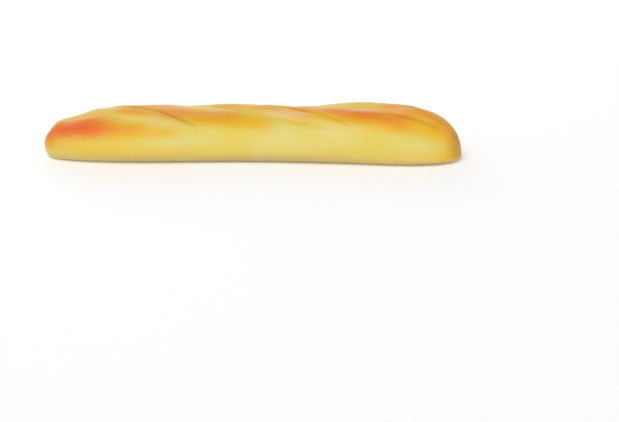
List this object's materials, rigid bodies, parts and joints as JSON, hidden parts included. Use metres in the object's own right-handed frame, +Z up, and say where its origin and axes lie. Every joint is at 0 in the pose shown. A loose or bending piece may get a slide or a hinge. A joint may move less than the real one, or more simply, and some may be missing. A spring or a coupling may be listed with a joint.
{
  "type": "imitation baguette",
  "caption": "Imitation baguette: a blunt, slightly bent loaf of soft foam, sprayed like baked crust, with slanting cuts over its top and a flat base to lie on.",
  "frame": {"origin": "on the surface the loaf lies on, under the middle of its box", "axes": "+X along the loaf towards its tall blunt end, +Y towards its evenly rounded side, +Z up out of the crust"},
  "size_m": [0.35, 0.0762, 0.044],
  "materials": {
    "painted_foam": "satin foam skin in pale yellow, sprayed with orange and red-brown between and beside the cuts"
  },
  "bodies": {
    "root": {"loaf": "painted_foam"}
  },
  "joints": []
}
